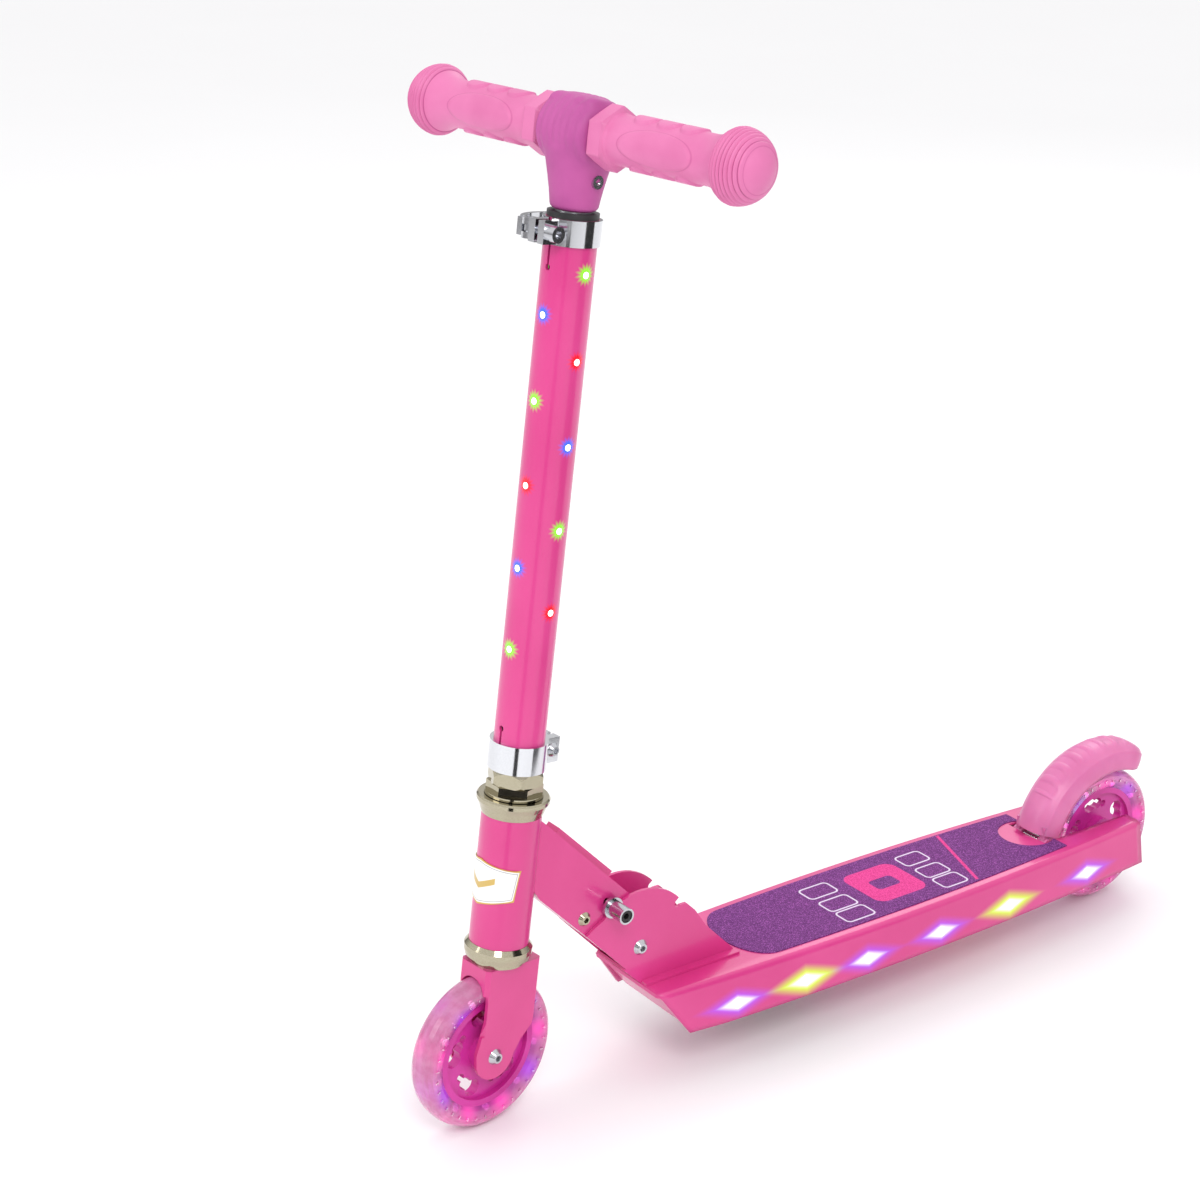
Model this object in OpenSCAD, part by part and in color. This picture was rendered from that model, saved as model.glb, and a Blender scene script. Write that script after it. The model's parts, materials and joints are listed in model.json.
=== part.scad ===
// Folding child's kick scooter with lights: origin on the floor midway between
// the wheels, +X forwards, +Y to the rider's left, +Z up, millimetres.

/* [Wheels] */
// Diameter of both wheels
wheel_d = 120; // [110:1:130]
// Distance between the two axles
wheelbase = 639; // [600:1:700]
// Tyre width
tyre_w = 24; // [20:1:26]

/* [Deck] */
// Widest part of the deck top
deck_w = 104; // [92:1:116]
// How far each long edge bows in over 300 mm
deck_bow = 14; // [8:1:16]
// Height of the deck top above the axles
deck_rise = 19.5; // [17:0.5:24]
// Depth of the deck channel
deck_h = 37; // [32:1:40]

/* [Stem] */
// Lean of the steering axis from upright, degrees
rake = 6.7; // [4:0.1:10]
// Wheel axle ahead of the steering axis
fork_offset = 6.6; // [4:0.1:10]
// How far the bars are turned to the left, degrees
steer_turn = 7.3; // [0:0.1:15]
// Height of the handlebar along the steering axis
bar_s = 669.7; // [640:1:740]
// Outside diameter of the lower stem tube
stem_d = 36.8; // [35.5:0.1:38]
// Outside diameter of the sliding T-bar tube
tbar_d = 25.4; // [22:0.1:25.4]

/* [Handlebar] */
// Length of the handlebar from tip to tip
bar_w = 338; // [300:1:380]
// Diameter of the grip body
grip_d = 34; // [30:1:38]

/* [Fold] */
// Radius of the lock pin's arc on the fold bracket
arc_r = 47.5; // [46:0.5:49]
// Angle the stem folds through, degrees
fold_angle = 85; // [70:1:88]

/* [Hidden] */
wheel_r = wheel_d / 2;
front_x = wheelbase / 2;
rear_x = -wheelbase / 2;
deck_z = wheel_r + deck_rise;
deck_mid_x = front_x - 373;
deck_half_top = deck_w / 2;
deck_lean = 5.4;
deck_wall = 3;
deck_rear_x = rear_x - 18;
run_gap = 0.05;
lock_gap = 0.3;
eps = 0.01;
// wheel parts
tyre_in_r = wheel_r - 17;
hub_r = 15;
bearing_r = 11;
bearing_in_r = 7;
bearing_w = 7;
bearing_y = 6.5;
axle_r = 4;
head_r = 6.2;
head_h = 4.5;
light_r = wheel_r - 13;
light_h = 3;
// steering stack, along the steering axis
steerer_r = 14.3;
steerer_bore_r = 13.2;
fork_in = 13;
fork_plate = 3;
crown_s = wheel_r + 11;
race_s = crown_s;
cup_low_s = crown_s + 4.6;
head_low_s = crown_s + 16;
head_top_s = crown_s + 116;
head_r_out = 22;
head_r_in = 17;
cup_top_s = head_top_s + 14;
cone_top_s = cup_top_s + 9;
nut_top_s = cone_top_s + 11;
clamp_h = 21;
ball_r = 1.95;
ball_ring_r = 18.2;
stem_low_s = nut_top_s + 0.5;
stem_r = stem_d / 2;
stem_wall = 2.5;
stem_in_r = stem_r - stem_wall;
stem_top_s = bar_s - 56.7;
top_clamp_h = 17.5;
tbar_r = tbar_d / 2;
tbar_wall = 1.8;
tbar_low_s = nut_top_s + 69;
bush_top_s = stem_top_s + 4;
shim_top_s = nut_top_s + 41;
led_pitch = (stem_top_s - tbar_low_s - 28.2) / 5;
led_r = 2.3;
lever_n = 26;
lever_y = -13;
ear_gap = 3;
// fold
pivot_x = front_x - 132;
pivot_z = wheel_r + 50.5;
neck_half = 15.2;
neck_plate = 3;
bracket_in = neck_half + 0.25;
bracket_out = bracket_in + 2.75;
neck_end_r = 18.8;
pin_r = 3;
lock_a = 57.2;
lock_in_r = arc_r - 3.7;
lock_rest_r = arc_r + pin_r + lock_gap;
lock_high_r = lock_rest_r + 3;
knob_y = 37.5;
// rear brake
brake_x = rear_x + 74;
brake_z = wheel_r + 13.5;
brake_pin_r = 2.5;
fender_crown_r = wheel_r + 26;
fender_side_r = wheel_r + 4;
fender_half = 20;
fender_t = 3;
slot_half = 21.5;
drop_y = 22;

// ---------- frames ----------
module steer_frame() {
  translate([front_x - fork_offset * cos(rake), 0, wheel_r - fork_offset * sin(rake)])
    rotate([0, -rake, 0]) children();
}
module steered() { steer_frame() rotate([0, 0, steer_turn]) children(); }
module front_wheel_place() { steered() translate([fork_offset, 0, 0]) children(); }
module rear_wheel_place() { translate([rear_x, 0, wheel_r]) children(); }
module fold_place() { translate([pivot_x, 0, pivot_z]) children(); }
module bar_place() { steered() translate([0, 0, bar_s]) children(); }

// ---------- helpers ----------
// cylinder along +Y from y0 to y1
module ycyl(r, y0, y1) { translate([0, y1, 0]) rotate([90, 0, 0]) cylinder(r = r, h = y1 - y0, $fn = 64); }
module ring(r, bore, h) {
  difference() {
    cylinder(r = r, h = h, $fn = 96);
    translate([0, 0, -1]) cylinder(r = bore, h = h + 2, $fn = 96);
  }
}
module yring(r, bore, y0, y1) {
  difference() {
    ycyl(r, y0, y1);
    ycyl(bore, y0 - 1, y1 + 1);
  }
}
// plate drawn in x, z and thick along y
module xz_plate(pts, y0, y1) {
  translate([0, y1, 0]) rotate([90, 0, 0]) linear_extrude(y1 - y0) polygon(pts);
}
// button-head bolt along Y with head at +y1 and nut at y0
module ybolt(r, y0, y1, rh, hh) {
  difference() {
    union() {
      ycyl(r, y0, y1);
      translate([0, y1 + hh, 0]) rotate([90, 0, 0]) cylinder(r1 = rh * 0.62, r2 = rh, h = hh, $fn = 64);
    }
    translate([0, y1 + hh + 1, 0]) rotate([90, 0, 0]) cylinder(r = rh * 0.42, h = hh * 0.7 + 1, $fn = 6);
  }
  translate([0, y0, 0]) rotate([90, 0, 0]) cylinder(r = rh * 1.05, h = hh, $fn = 6);
}
function deck_half(x) = deck_half_top - deck_bow * pow((x - deck_mid_x) / 300, 2);
function deck_side(x, z) = deck_half(x) + deck_lean * (deck_z - z) / deck_h;
function deck_outline(x0, x1, cut, n) = concat(
  [for (i = [0:n]) let (x = x0 + (x1 - x0) * i / n) [x, deck_half(x) - cut]],
  [for (i = [n:-1:0]) let (x = x0 + (x1 - x0) * i / n) [x, -deck_half(x) + cut]]);

// ---------- wheels ----------
function tyre_profile() = [
  [tyre_in_r, -tyre_w * 0.33], [tyre_in_r + 3, -tyre_w * 0.42], [wheel_r - 8, -tyre_w * 0.5],
  [wheel_r - 5, -tyre_w * 0.485], [wheel_r - 2.4, -tyre_w * 0.4], [wheel_r - 0.8, -tyre_w * 0.27],
  [wheel_r, -tyre_w * 0.1], [wheel_r, tyre_w * 0.1], [wheel_r - 0.8, tyre_w * 0.27],
  [wheel_r - 2.4, tyre_w * 0.4], [wheel_r - 5, tyre_w * 0.485], [wheel_r - 8, tyre_w * 0.5],
  [tyre_in_r + 3, tyre_w * 0.42], [tyre_in_r, tyre_w * 0.33]];
module light_cavities(grow) {
  for (a = [0:40:320]) rotate([0, a + 15, 0]) translate([light_r, 0, 0])
    ycyl(2.5 + grow, 4 - grow, 4 + light_h + grow);
}
module tyre() {
  difference() {
    rotate([90, 0, 0]) rotate_extrude($fn = 128) polygon(tyre_profile());
    light_cavities(0);
  }
}
module hub() {
  difference() {
    union() {
      yring(tyre_in_r, tyre_in_r - 5, -tyre_w * 0.33, tyre_w * 0.33);
      ycyl(tyre_in_r - 1, -4, 4);
      ycyl(hub_r, -bearing_y - 4, bearing_y + 4);
    }
    ycyl(bearing_in_r + 1.5, -20, 20);
    for (s = [-1, 1]) ycyl_signed(bearing_r, s);
    for (k = [0:4]) rotate([0, k * 72, 0]) {
      translate([tyre_in_r - 13.5, 0, 0]) ycyl(6.6, -10, 10);
      translate([tyre_in_r - 16.3, 0, 8.5]) ycyl(5, -10, 10);
      translate([tyre_in_r - 20.5, 0, 14.8]) ycyl(3.2, -10, 10);
    }
  }
}
module ycyl_signed(r, s) {
  if (s > 0) ycyl(r, bearing_y - bearing_w / 2, 20);
  if (s < 0) ycyl(r, -20, -bearing_y + bearing_w / 2);
}
module bearing_outer() {
  for (s = [-1, 1]) translate([0, s * bearing_y, 0])
    difference() {
      yring(bearing_r, 9.3, -bearing_w / 2, bearing_w / 2);
      rotate([90, 0, 0]) rotate_extrude($fn = 64) translate([8.1, 0]) circle(r = 1.7, $fn = 24);
    }
}
module bearing_inner() {
  for (s = [-1, 1]) translate([0, s * bearing_y, 0]) {
    yring(6.2, axle_r, -bearing_w / 2, bearing_w / 2);
    for (k = [0:6]) rotate([0, k * 360 / 7, 0]) translate([7.7, 0, 0]) sphere(r = 1.55, $fn = 24);
  }
}
module spacers(y_end) {
  for (s = [-1, 1]) {
    if (s > 0) yring(6, axle_r, bearing_y + bearing_w / 2, y_end);
    if (s < 0) yring(6, axle_r, -y_end, -bearing_y - bearing_w / 2);
  }
}
module magnet_core() { yring(5.8, axle_r, -bearing_y + bearing_w / 2, bearing_y - bearing_w / 2); }
module wheel_lights() { light_cavities(0); }

module rear_tyre() { color([0.95, 0.6, 0.8]) rear_wheel_place() tyre(); }
module rear_hub() { color([0.8, 0.15, 0.5]) rear_wheel_place() hub(); }
module rear_lights() { color([0.9, 0.6, 1]) rear_wheel_place() wheel_lights(); }
module rear_bearing_outer() { color([0.8, 0.8, 0.8]) rear_wheel_place() bearing_outer(); }
module rear_bearing_inner() { color([0.7, 0.7, 0.7]) rear_wheel_place() bearing_inner(); }
module rear_magnet() { color([0.3, 0.3, 0.3]) rear_wheel_place() magnet_core(); }
module rear_spacers() { color([0.7, 0.7, 0.7]) rear_wheel_place() spacers(drop_y); }
module rear_axle() {
  color([0.8, 0.8, 0.8]) rear_wheel_place() ybolt(axle_r, -drop_y - fork_plate, drop_y + fork_plate, head_r, head_h);
}
module front_tyre() { color([0.95, 0.6, 0.8]) front_wheel_place() tyre(); }
module front_hub() { color([0.8, 0.15, 0.5]) front_wheel_place() hub(); }
module front_lights() { color([0.9, 0.6, 1]) front_wheel_place() wheel_lights(); }
module front_bearing_outer() { color([0.8, 0.8, 0.8]) front_wheel_place() bearing_outer(); }
module front_bearing_inner() { color([0.7, 0.7, 0.7]) front_wheel_place() bearing_inner(); }
module front_magnet() { color([0.3, 0.3, 0.3]) front_wheel_place() magnet_core(); }
module front_spacers() { color([0.7, 0.7, 0.7]) front_wheel_place() spacers(fork_in); }
module front_axle() {
  color([0.8, 0.8, 0.8]) front_wheel_place()
    ybolt(axle_r, -fork_in - fork_plate, fork_in + fork_plate, head_r, head_h * 0.8);
}

// ---------- deck ----------
deck_front_top = front_x - 132;
deck_front_low = front_x - 158;
module deck_solid(cut, drop, ext) {
  hull() {
    translate([0, 0, deck_z - drop - 1])
      linear_extrude(1) polygon(deck_outline(deck_rear_x - ext, deck_front_top + ext, cut + 2.5, 20));
    translate([0, 0, deck_z - drop - 4])
      linear_extrude(1) polygon(deck_outline(deck_rear_x - ext, deck_front_top - 2.5 + ext, cut - 0.4, 20));
    translate([0, 0, deck_z - deck_h - (drop > 0 ? 3 : 0)])
      linear_extrude(1) polygon(deck_outline(deck_rear_x - ext, deck_front_low + ext, cut - deck_lean, 20));
  }
}
module deck() {
  color([0.93, 0.2, 0.6]) difference() {
    deck_solid(0, 0, 0);
    deck_solid(deck_wall, deck_wall, 40);
    // opening over the rear wheel
    translate([rear_x - 60, -slot_half, deck_z - 12]) cube([60 + 82, 2 * slot_half, 20]);
    light_holes();
  }
  // ears that carry the brake pin
  color([0.93, 0.2, 0.6]) for (s = [-1, 1]) difference() {
    translate([brake_x - 6, s * (slot_half + 1.5) - 1.5, brake_z - 6])
      cube([12, 3, deck_z - deck_wall + eps - brake_z + 6]);
    translate([brake_x, 0, brake_z]) ycyl(brake_pin_r, -40, 40);
  }
}
light_xs = [for (d = [202, 268, 331, 409, 488, 584]) front_x - d];
light_z = deck_z - 24.5;
module light_holes() {
  for (x = light_xs) translate([x, 0, light_z]) ycyl(4, -80, 80);
}
module deck_lights() {
  color([1, 0.9, 1]) for (x = light_xs, s = [-1, 1]) {
    w = deck_side(x, light_z);
    translate([x, 0, light_z]) {
      if (s > 0) ycyl(4, w - 6, w + 0.4);
      if (s < 0) ycyl(4, -w - 0.4, -w + 6);
    }
  }
}
module nose_plate() {
  w = deck_half(deck_front_top) - deck_wall - 1;
  color([0.9, 0.15, 0.5])
    xz_plate([[deck_front_top - 8, deck_z - deck_wall - 2], [deck_front_top - 5, deck_z - deck_wall - 2],
      [deck_front_low - 3, deck_z - deck_h + 1], [deck_front_low - 6, deck_z - deck_h + 1]], -w, w);
}
tape_front = front_x - 225;
tape_rear = front_x - 569;
tape_inset = 9.5;
module grip_tape() {
  x1 = tape_front - 26;
  w1 = deck_half(x1) - tape_inset;
  color([0.5, 0.15, 0.5]) difference() {
    translate([0, 0, deck_z]) linear_extrude(0.8) polygon(concat(
      [for (i = [0:16]) let (x = tape_rear + (x1 - tape_rear) * i / 16) [x, deck_half(x) - tape_inset]],
      [for (a = [80:-10:-80]) [x1 + 26 * cos(a), w1 * sin(a)]],
      [for (i = [16:-1:0]) let (x = tape_rear + (x1 - tape_rear) * i / 16) [x, -deck_half(x) + tape_inset]]));
    translate([rear_x + 82, 0, deck_z - 1]) cylinder(r = slot_half + 2.5, h = 4, $fn = 64);
  }
}
module battery_box() {
  color([0.2, 0.2, 0.22]) difference() {
    translate([deck_mid_x + 60, -26, deck_z - deck_wall - 28]) cube([84, 52, 28]);
    translate([deck_mid_x + 62, -24, deck_z - deck_wall - 29]) cube([80, 48, 27]);
  }
}
module battery_cover() {
  color([0.15, 0.15, 0.17]) difference() {
    translate([deck_mid_x + 57, -28, deck_z - deck_wall - 30.5]) cube([90, 56, 2.5]);
    for (s = [-1, 1]) translate([deck_mid_x + 102, s * 20, deck_z - deck_wall - 31])
      cylinder(r = 2, h = 2, $fn = 24);
  }
}
module rear_dropouts() {
  color([0.7, 0.7, 0.72]) for (s = [-1, 1]) {
    y0 = s > 0 ? drop_y : -drop_y - fork_plate;
    difference() {
      xz_plate([[rear_x - 13, wheel_r - 12], [rear_x + 13, wheel_r - 12], [rear_x + 34, deck_z - deck_wall],
        [rear_x - 13, deck_z - deck_wall]], y0, y0 + fork_plate);
      rear_wheel_place() ycyl(axle_r, -60, 60);
    }
  }
}
// ---------- rear brake ----------
function fender_profile(k) = concat(
  [for (a = [-90:10:90]) [fender_side_r + (fender_crown_r - fender_side_r) * cos(a), fender_half * sin(a)]],
  [for (a = [90:-10:-90]) [fender_side_r + (fender_crown_r - fender_side_r - k) * cos(a), (fender_half - k) * sin(a)]]);
module rear_fender() {
  color([0.92, 0.5, 0.75, 0.9]) difference() {
    union() {
      rear_wheel_place() rotate([90, 0, 0])
        rotate([0, 0, 16]) rotate_extrude(angle = 108, $fn = 96) polygon(fender_profile(fender_t));
      rear_wheel_place() rotate([90, 0, 0]) rotate([0, 0, 50]) rotate_extrude(angle = 50, $fn = 96)
        polygon([[wheel_r + 4.5, -4], [fender_crown_r - 2, -4], [fender_crown_r - 2, 4], [wheel_r + 4.5, 4]]);
      translate([brake_x, 0, brake_z]) ycyl(5.5, -19.5, 19.5);
      rear_wheel_place() for (s = [-1, 1])
        xz_plate([[68, 8], [79.5, 10], [81, 24], [72, 28], [66, 24]], s * 18 - 1.5, s * 18 + 1.5);
    }
    translate([brake_x, 0, brake_z]) ycyl(brake_pin_r + run_gap, -40, 40);
    translate([brake_x, 0, brake_z]) ycyl(7, -9, 9);
  }
}
module fender_pin() {
  color([0.8, 0.8, 0.8]) translate([brake_x, 0, brake_z]) {
    ycyl(brake_pin_r, -slot_half - 4, slot_half + 4);
    ycyl(2.8, slot_half + 3, slot_half + 5);
  }
}
module fender_spring() {
  color([0.6, 0.6, 0.6]) translate([brake_x, 0, brake_z])
    for (y = [-7:2:7]) translate([0, y, 0]) rotate([90, 0, 0])
      rotate_extrude($fn = 48) translate([3.6, 0]) circle(r = 1.05, $fn = 16);
}
// ---------- fold bracket ----------
module lock_notch(a) {
  rotate([0, -a, 0]) {
    translate([lock_in_r, 0, 0]) ycyl(pin_r + 0.15, -30, 30);
    translate([lock_in_r, -30, -pin_r - 0.15]) cube([20, 60, 2 * pin_r + 0.3]);
  }
}
function bracket_outline() = concat([[-1, -30], [49.7, 23.9], [42, 29]],
  [for (a = [44:6:140]) [arc_r * cos(a), arc_r * sin(a)]],
  [[-37, 29], [-36.5, 24.6], [-43, 24.5], [-51.5, 15.9], [-62, 0], [-91, -30]]);
module fold_bracket() {
  color([0.93, 0.2, 0.6]) fold_place() difference() {
    union() {
      xz_plate(bracket_outline(), bracket_in, bracket_out);
      xz_plate(bracket_outline(), -bracket_out, -bracket_in);
      // foot on the deck and the front web under the neck
      translate([-91, -25, deck_z - pivot_z]) cube([90, 50, 2]);
      xz_plate([[13.3, -14.6], [14.7, -16], [-0.5, -30.8], [-2, -29.5]], -bracket_out + eps, bracket_out - eps);
    }
    ycyl(axle_r, -40, 40);
    lock_notch(lock_a);
    lock_notch(lock_a + fold_angle);
  }
}
module fold_bolt() {
  color([0.8, 0.8, 0.8]) fold_place() ybolt(axle_r, -bracket_out, bracket_out, head_r, 3);
}
// ---------- neck and head tube ----------
function neck_outline() = concat([[95, 74], [112, 98], [90, 130], [81.6, 121.6], [9.6, 47.2], [-5, 30]],
  [for (a = [140:15:315]) [neck_end_r * cos(a), neck_end_r * sin(a)]], [[47.6, 21.9], [89.7, 65.2]]);
module neck_frame() {
  color([0.93, 0.2, 0.6]) difference() {
    fold_place() difference() {
      xz_plate(neck_outline(), -neck_half, neck_half);
      // hollow between the side plates
      xz_plate([[-40, 60], [8, 40], [20, 52], [84, 118], [100, 118], [100, 80], [50, 29], [16, -5], [0, -40],
        [-40, -40]], -neck_half + neck_plate, neck_half - neck_plate);
      ycyl(axle_r + run_gap, -40, 40);
      // slot that the lock pin slides in
      rotate([0, -lock_a, 0]) {
        translate([lock_in_r - 1.2, -40, -pin_r - 0.1]) cube([lock_high_r - lock_in_r + 2.4, 80, 2 * pin_r + 0.2]);
        for (r = [lock_in_r - 1.2, lock_high_r + 1.2]) translate([r, 0, 0]) ycyl(pin_r + 0.1, -40, 40);
      }
      translate([50, 0, 37.5]) ycyl(3, -40, 40);
    }
    steer_frame() cylinder(r = head_r_out, h = 400, $fn = 96);
  }
}
module neck_strip() {
  color([0.93, 0.2, 0.6]) difference() {
    fold_place() xz_plate([[19.3, 64.9], [24.9, 59.4], [72.5, 107.9], [66.9, 113.4]], -7, 7);
    fold_place() xz_plate(neck_outline(), -neck_half, neck_half);
    steer_frame() cylinder(r = head_r_out, h = 400, $fn = 96);
  }
}
module neck_bolt() {
  color([0.85, 0.8, 0.5]) fold_place() translate([50, 0, 37.5]) ybolt(3, -neck_half, neck_half, 5.5, 2.6);
}
module head_tube() {
  color([0.93, 0.2, 0.6]) steer_frame() translate([0, 0, head_low_s])
    ring(head_r_out, head_r_in, head_top_s - head_low_s);
}
badge_s = head_low_s + 32;
module badge() {
  color([0.95, 0.95, 0.9]) steer_frame() intersection() {
    translate([0, 0, badge_s - 10]) ring(head_r_out + 0.8, head_r_out, 55);
    translate([0, 0, badge_s]) rotate([90, 0, 90]) linear_extrude(40)
      polygon([[0, 0], [13, 3.5], [21.3, 6.4], [21.9, 30.6], [15, 32], [0, 35], [-15, 32], [-21.9, 30.6],
        [-21.3, 6.4], [-13, 3.5]]);
  }
}
module lower_cup() {
  color([0.85, 0.8, 0.65]) steer_frame() difference() {
    union() {
      translate([0, 0, cup_low_s]) cylinder(r1 = 24, r2 = 25, h = 4, $fn = 96);
      translate([0, 0, cup_low_s + 4]) cylinder(r = 25, h = 4, $fn = 96);
      translate([0, 0, cup_low_s + 8]) cylinder(r1 = 25, r2 = 22.4, h = head_low_s - cup_low_s - 8, $fn = 96);
      translate([0, 0, head_low_s - eps]) cylinder(r = head_r_in, h = 9, $fn = 96);
    }
    translate([0, 0, cup_low_s - 1]) cylinder(r = 15.2, h = 40, $fn = 96);
    translate([0, 0, cup_low_s - 1]) cylinder(r = 21, h = 4.8, $fn = 96);
  }
}
module upper_cup() {
  color([0.85, 0.8, 0.65]) steer_frame() difference() {
    union() {
      translate([0, 0, head_top_s - 9]) cylinder(r = head_r_in, h = 9 + eps, $fn = 96);
      translate([0, 0, head_top_s]) cylinder(r1 = 22.4, r2 = 24.6, h = 6, $fn = 96);
      translate([0, 0, head_top_s + 6]) cylinder(r1 = 24.6, r2 = 26.6, h = 4, $fn = 96);
      translate([0, 0, head_top_s + 10]) cylinder(r = 26.6, h = 2.5, $fn = 96);
      translate([0, 0, head_top_s + 12.5]) cylinder(r1 = 26.6, r2 = 25.5, h = 1.3, $fn = 96);
    }
    translate([0, 0, head_top_s - 20]) cylinder(r = 15.2, h = 60, $fn = 96);
    translate([0, 0, cup_top_s - 4.6]) cylinder(r = 21, h = 20, $fn = 96);
  }
}
// ---------- fold lock ----------
module lock_place() { fold_place() rotate([0, -lock_a, 0]) translate([lock_rest_r, 0, 0]) children(); }
module lock_pin() {
  color([0.8, 0.8, 0.8]) lock_place() {
    ycyl(pin_r, -bracket_out - 8, bracket_out + 4);
    difference() {
      union() {
        ycyl(8.3, bracket_out + 0.3, bracket_out + 3);
        ycyl(6.4, bracket_out + 2, knob_y);
      }
      ycyl(5, knob_y - 6, knob_y + 1);
    }
    ycyl(7, -bracket_out - 8, -bracket_out - 0.3);
    // pull plate on the far side
    translate([-5, -bracket_out - 8, -6]) cube([32, 2.5, 12]);
  }
}
module lock_insert() {
  color([0.1, 0.1, 0.1]) lock_place() difference() {
    ycyl(5, knob_y - 6, knob_y - 0.8);
    translate([0, knob_y, 0]) rotate([90, 0, 0]) cylinder(r = 2.6, h = 4, $fn = 6);
  }
}
// ---------- fork ----------
fork_w = fork_in + fork_plate;
function fork_outline() = concat([[-30.5, 62], [-30.5, 36], [-28.8, 27], [-26.7, 18.6], [-17, 8]],
  [for (a = [185:10:345]) [fork_offset + 18 * cos(a), 18 * sin(a)]],
  [[25, 5], [21.7, 17.8], [18.8, 25], [18.8, 41], [21.7, 58], [21.7, 62]]);
module fork() {
  crown_low = wheel_r + 5;
  color([0.93, 0.2, 0.6]) steered() {
    difference() {
      union() {
        for (s = [-1, 1]) {
          y0 = s > 0 ? fork_in : -fork_w;
          xz_plate([for (p = fork_outline()) [p[0], p[1] + (p[1] > 20 ? crown_low - 60 : 0)]], y0, y0 + fork_plate);
        }
        translate([-30.5, -fork_w, crown_low - 14]) cube([3, 2 * fork_w, 15]);
        translate([18.7, -fork_w, crown_low - 14]) cube([3, 2 * fork_w, 15]);
        translate([-30.5, -fork_w, crown_low]) cube([52.2, 2 * fork_w, crown_s - crown_low]);
      }
      // arch over the tyre, front and back
      translate([-40, -fork_in, crown_low - 30]) cube([80, 2 * fork_in, 13.5]);
      translate([-40, 0, crown_low - 16.5]) rotate([0, 90, 0]) cylinder(r = fork_in, h = 80, $fn = 96);
      translate([fork_offset, 0, 0]) ycyl(axle_r, -40, 40);
      cylinder(r = steerer_bore_r, h = 200, $fn = 96);
      // rounded upright corners
      for (sx = [-30.5, 21.7], sy = [-1, 1]) translate([sx, sy * fork_w, crown_low - 16])
        rotate([0, 0, 45]) cube([4.2, 4.2, 60], center = true);
    }
    translate([0, 0, crown_low + 1]) ring(steerer_r, steerer_bore_r, nut_top_s + 41 - crown_low - 1);
  }
}
module crown_race() {
  color([0.85, 0.8, 0.65]) steered() difference() {
    union() {
      translate([0, 0, race_s]) cylinder(r = 20, h = 4.3, $fn = 96);
      translate([0, 0, race_s + 4.3]) cylinder(r = 16.2, h = 4, $fn = 96);
    }
    translate([0, 0, race_s - 1]) cylinder(r = steerer_r, h = 20, $fn = 96);
    translate([0, 0, race_s + 7.2]) cylinder(r = 15, h = 20, $fn = 96);
  }
}
module headset_balls() {
  color([0.7, 0.7, 0.7]) steered() {
    for (s = [race_s + 4.4 + ball_r, cup_top_s - 4.5 + ball_r], k = [0:11])
      rotate([0, 0, k * 30]) translate([ball_ring_r, 0, s]) sphere(r = ball_r, $fn = 24);
  }
}
module upper_cone() {
  color([0.85, 0.8, 0.65]) steered() difference() {
    union() {
      translate([0, 0, cup_top_s - 4.3]) cylinder(r = 16.2, h = 5, $fn = 96);
      translate([0, 0, cup_top_s + 0.3]) cylinder(r = 21.4, h = 2.2, $fn = 96);
      translate([0, 0, cup_top_s + 2.4]) rotate([0, 0, 15])
        cylinder(r = 20.6, h = cone_top_s - cup_top_s - 2.4, $fn = 6);
    }
    translate([0, 0, cup_top_s - 10]) cylinder(r = steerer_r, h = 60, $fn = 96);
  }
}
module locknut() {
  color([0.85, 0.8, 0.65]) steered() difference() {
    translate([0, 0, cone_top_s]) intersection() {
      cylinder(r = 20.8, h = nut_top_s - cone_top_s, $fn = 6);
      union() {
        cylinder(r1 = 19, r2 = 20.8, h = 2, $fn = 96);
        translate([0, 0, 2]) cylinder(r = 20.8, h = 5, $fn = 96);
        translate([0, 0, 7]) cylinder(r1 = 20.8, r2 = 17.5, h = nut_top_s - cone_top_s - 7, $fn = 96);
      }
    }
    translate([0, 0, cone_top_s - 1]) cylinder(r = steerer_r, h = 60, $fn = 96);
  }
}
// ---------- stem ----------
function led_front() = [for (i = [0:4]) tbar_low_s + 21.9 + i * led_pitch];
function led_left() = [for (i = [0:4]) tbar_low_s + 51.4 + i * led_pitch];
module led_holes(r) {
  for (s = led_front(), a = [0, 180]) rotate([0, 0, a]) translate([stem_in_r - 1, 0, s]) rotate([0, 90, 0])
    cylinder(r = r, h = stem_wall + 2, $fn = 32);
  for (s = led_left(), a = [90, 270]) rotate([0, 0, a]) translate([stem_in_r - 1, 0, s]) rotate([0, 90, 0])
    cylinder(r = r, h = stem_wall + 2, $fn = 32);
}
module stem_tube() {
  color([0.93, 0.2, 0.6]) steered() difference() {
    translate([0, 0, stem_low_s]) ring(stem_r, stem_in_r, stem_top_s - stem_low_s);
    led_holes(led_r);
    // saw cuts that let the ends squeeze shut
    translate([0, -1, stem_low_s - 1]) cube([30, 2, shim_top_s - stem_low_s - 9]);
    translate([0, 0, shim_top_s - 9]) rotate([0, 90, 0]) cylinder(r = 2.2, h = 30, $fn = 32);
    translate([0, -1, stem_top_s - 33]) cube([30, 2, 40]);
    translate([0, 0, stem_top_s - 33]) rotate([0, 90, 0]) cylinder(r = 2.2, h = 30, $fn = 32);
  }
}
module stem_lights() {
  color([0.8, 1, 0.8]) steered() intersection() {
    led_holes(led_r);
    translate([0, 0, stem_low_s]) ring(stem_r + 0.3, stem_in_r - 0.5, stem_top_s - stem_low_s);
  }
}
module light_strips() {
  color([0.9, 0.9, 0.9]) steered() for (a = [0:90:270]) rotate([0, 0, a])
    translate([stem_in_r - 1.6, -2, tbar_low_s + 5]) cube([0.8, 4, 5 * led_pitch - 9]);
}
module clamp_shim() {
  color([0.2, 0.2, 0.2]) steered() difference() {
    translate([0, 0, stem_low_s]) ring(stem_in_r, steerer_r, shim_top_s - stem_low_s);
    translate([0, -1, stem_low_s - 1]) cube([30, 2, 90]);
  }
}
clamp_low_r = stem_r + 2.8;
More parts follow.
